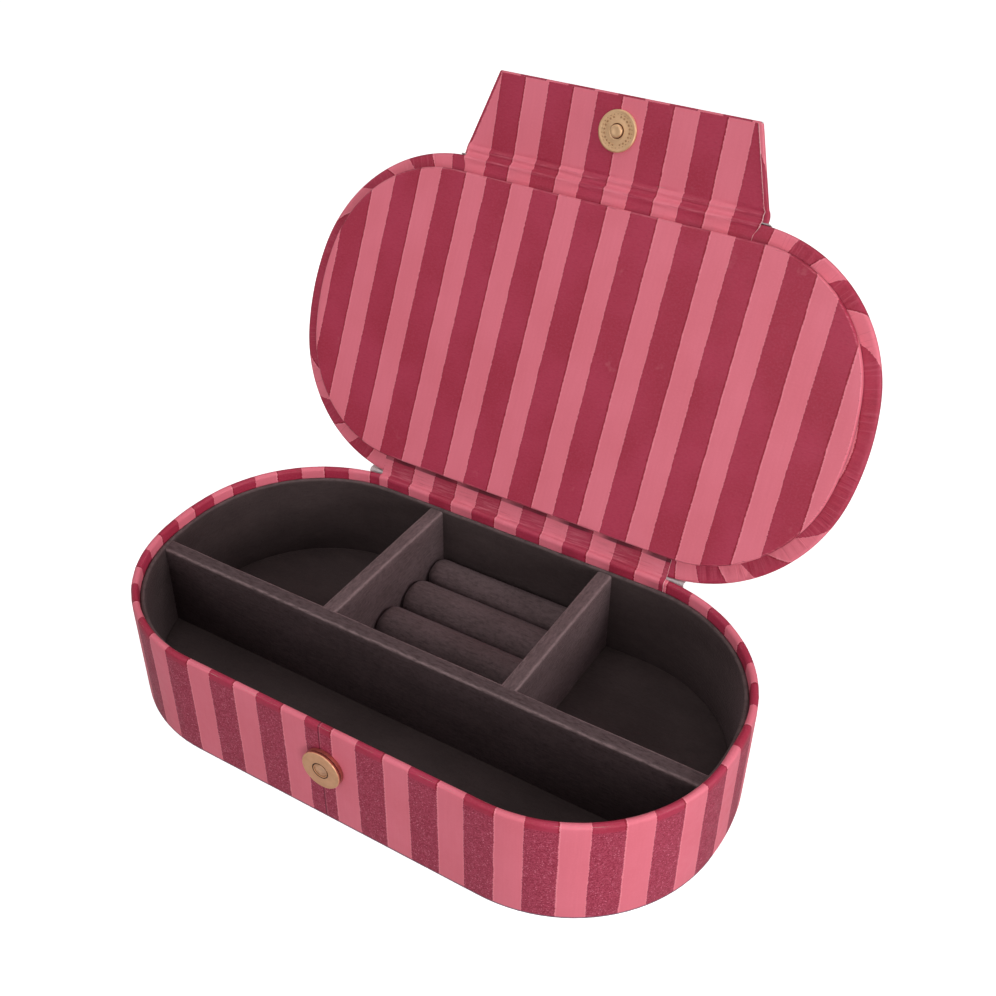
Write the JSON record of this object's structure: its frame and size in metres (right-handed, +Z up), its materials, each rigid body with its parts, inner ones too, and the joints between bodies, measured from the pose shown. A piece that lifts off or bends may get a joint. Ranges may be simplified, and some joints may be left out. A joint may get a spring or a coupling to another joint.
{
  "type": "jewelry box",
  "caption": "Oval hinged box with a velvet lined tray of compartments, padded ring rolls, a lid with a raised inner panel and a front flap closed by a magnetic snap.",
  "frame": {"origin": "centre of the flat underside of the base", "axes": "+X along the length of the box, to the right seen from the front; +Y from the flap side to the hinge side; +Z up out of the open tray"},
  "size_m": [0.231, 0.1944, 0.1895],
  "materials": {
    "striped_covering": "matt coated sheet, pink and raspberry stripes",
    "striped_lining": "smooth satin sheet, pink and raspberry stripes",
    "velvet": "short pile, charcoal brown",
    "board": "grey board",
    "foam": "soft foam sheet",
    "bottom_sheet": "matt backing paper",
    "snap_brass": "satin rose brass",
    "snap_steel": "plated"
  },
  "bodies": {
    "base": {"bottom_sheet": "bottom_sheet", "base_floor": "board", "base_wall": "board", "base_cover": "striped_covering", "liner_wall": "velvet", "floor_pad": "velvet", "long_divider": "velvet", "left_divider": "velvet", "right_divider": "velvet", "ring_tray": "velvet", "ring_roll_1": "velvet", "ring_roll_2": "velvet", "ring_roll_3": "velvet", "ring_roll_4": "velvet", "inner_strip_base": "striped_lining", "outer_strip_base": "striped_covering", "base_snap_case": "snap_brass", "base_snap_magnet": "snap_steel", "base_snap_prongs": "snap_steel", "base_snap_washer": "snap_steel"},
    "lid": {"lid_board": "board", "lid_foam": "foam", "lid_cover": "striped_covering", "panel_board": "board", "panel_foam": "foam", "panel_cover": "striped_lining", "inner_strip_lid": "striped_lining", "outer_strip_lid": "striped_covering", "flap_strip_lid": "striped_lining"},
    "flap": {"flap_board": "board", "flap_cover": "striped_covering", "flap_lining": "striped_lining", "flap_snap_disc": "snap_brass", "flap_snap_prongs": "snap_steel", "flap_snap_washer": "snap_steel"}
  },
  "joints": [
    {"name": "lid_hinge", "type": "hinge", "parent": "base", "child": "lid", "pos_m": [0, 0.0628, 0.04435], "axis": [1, 0, 0], "range_deg": [0, 115.5]},
    {"name": "flap_hinge", "type": "hinge", "parent": "lid", "child": "flap", "pos_m": [0, 0.11791, 0.15977], "axis": [1, 0, 0], "range_deg": [-40, 80.7]}
  ]
}
